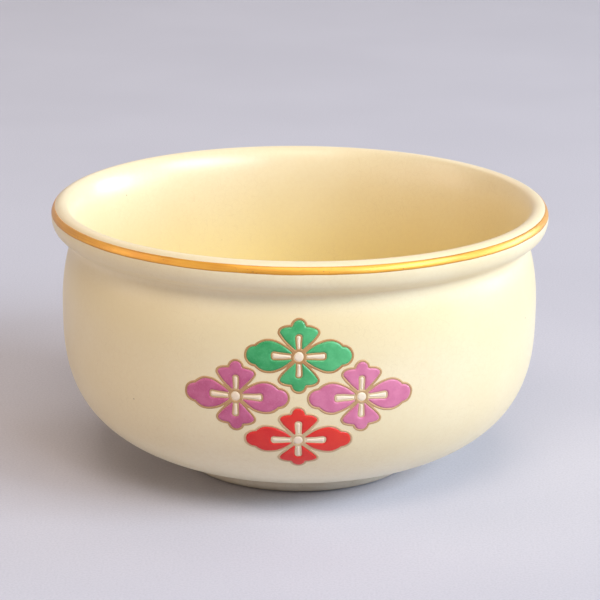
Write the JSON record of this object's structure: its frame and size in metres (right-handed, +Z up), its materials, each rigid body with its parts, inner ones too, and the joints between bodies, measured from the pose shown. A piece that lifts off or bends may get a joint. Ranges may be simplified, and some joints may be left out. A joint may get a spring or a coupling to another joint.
{
  "type": "waste water bowl",
  "caption": "Round glazed pottery bowl with a rolled lip, a gold line on the lip, enamel flowers in a diamond on the front and a low foot ring.",
  "frame": {"origin": "on the table, under the middle of the bowl", "axes": "+Z up along the bowl's turning axis, -Y towards the enamel flowers on the front, +X to their right"},
  "size_m": [0.1506, 0.1506, 0.0818],
  "materials": {
    "cream_glaze": "glossy crackle glaze",
    "bare_clay": "unglazed, fine sandy",
    "rim_gold": "fired gold, brushed on",
    "outline_gold": "fired gold, fine line",
    "ivory_enamel": "glossy enamel",
    "green_enamel": "glossy enamel",
    "mauve_enamel": "glossy enamel",
    "red_enamel": "glossy enamel"
  },
  "bodies": {
    "root": {"bowl_body": "cream_glaze", "foot_ring": "bare_clay", "rim_gold_line": "rim_gold", "green_petal_right": "green_enamel", "green_stamen_right": "ivory_enamel", "green_petal_up": "green_enamel", "green_stamen_up": "ivory_enamel", "green_petal_left": "green_enamel", "green_stamen_left": "ivory_enamel", "green_petal_down": "green_enamel", "green_stamen_down": "ivory_enamel", "green_centre_dot": "ivory_enamel", "green_gold_outline": "outline_gold", "mauve_left_petal_right": "mauve_enamel", "mauve_left_stamen_right": "ivory_enamel", "mauve_left_petal_up": "mauve_enamel", "mauve_left_stamen_up": "ivory_enamel", "mauve_left_petal_left": "mauve_enamel", "mauve_left_stamen_left": "ivory_enamel", "mauve_left_petal_down": "mauve_enamel", "mauve_left_stamen_down": "ivory_enamel", "mauve_left_centre_dot": "ivory_enamel", "mauve_left_gold_outline": "outline_gold", "mauve_right_petal_right": "mauve_enamel", "mauve_right_stamen_right": "ivory_enamel", "mauve_right_petal_up": "mauve_enamel", "mauve_right_stamen_up": "ivory_enamel", "mauve_right_petal_left": "mauve_enamel", "mauve_right_stamen_left": "ivory_enamel", "mauve_right_petal_down": "mauve_enamel", "mauve_right_stamen_down": "ivory_enamel", "mauve_right_centre_dot": "ivory_enamel", "mauve_right_gold_outline": "outline_gold", "red_petal_right": "red_enamel", "red_stamen_right": "ivory_enamel", "red_petal_up": "red_enamel", "red_stamen_up": "ivory_enamel", "red_petal_left": "red_enamel", "red_stamen_left": "ivory_enamel", "red_petal_down": "red_enamel", "red_stamen_down": "ivory_enamel", "red_centre_dot": "ivory_enamel", "red_gold_outline": "outline_gold"}
  },
  "joints": []
}
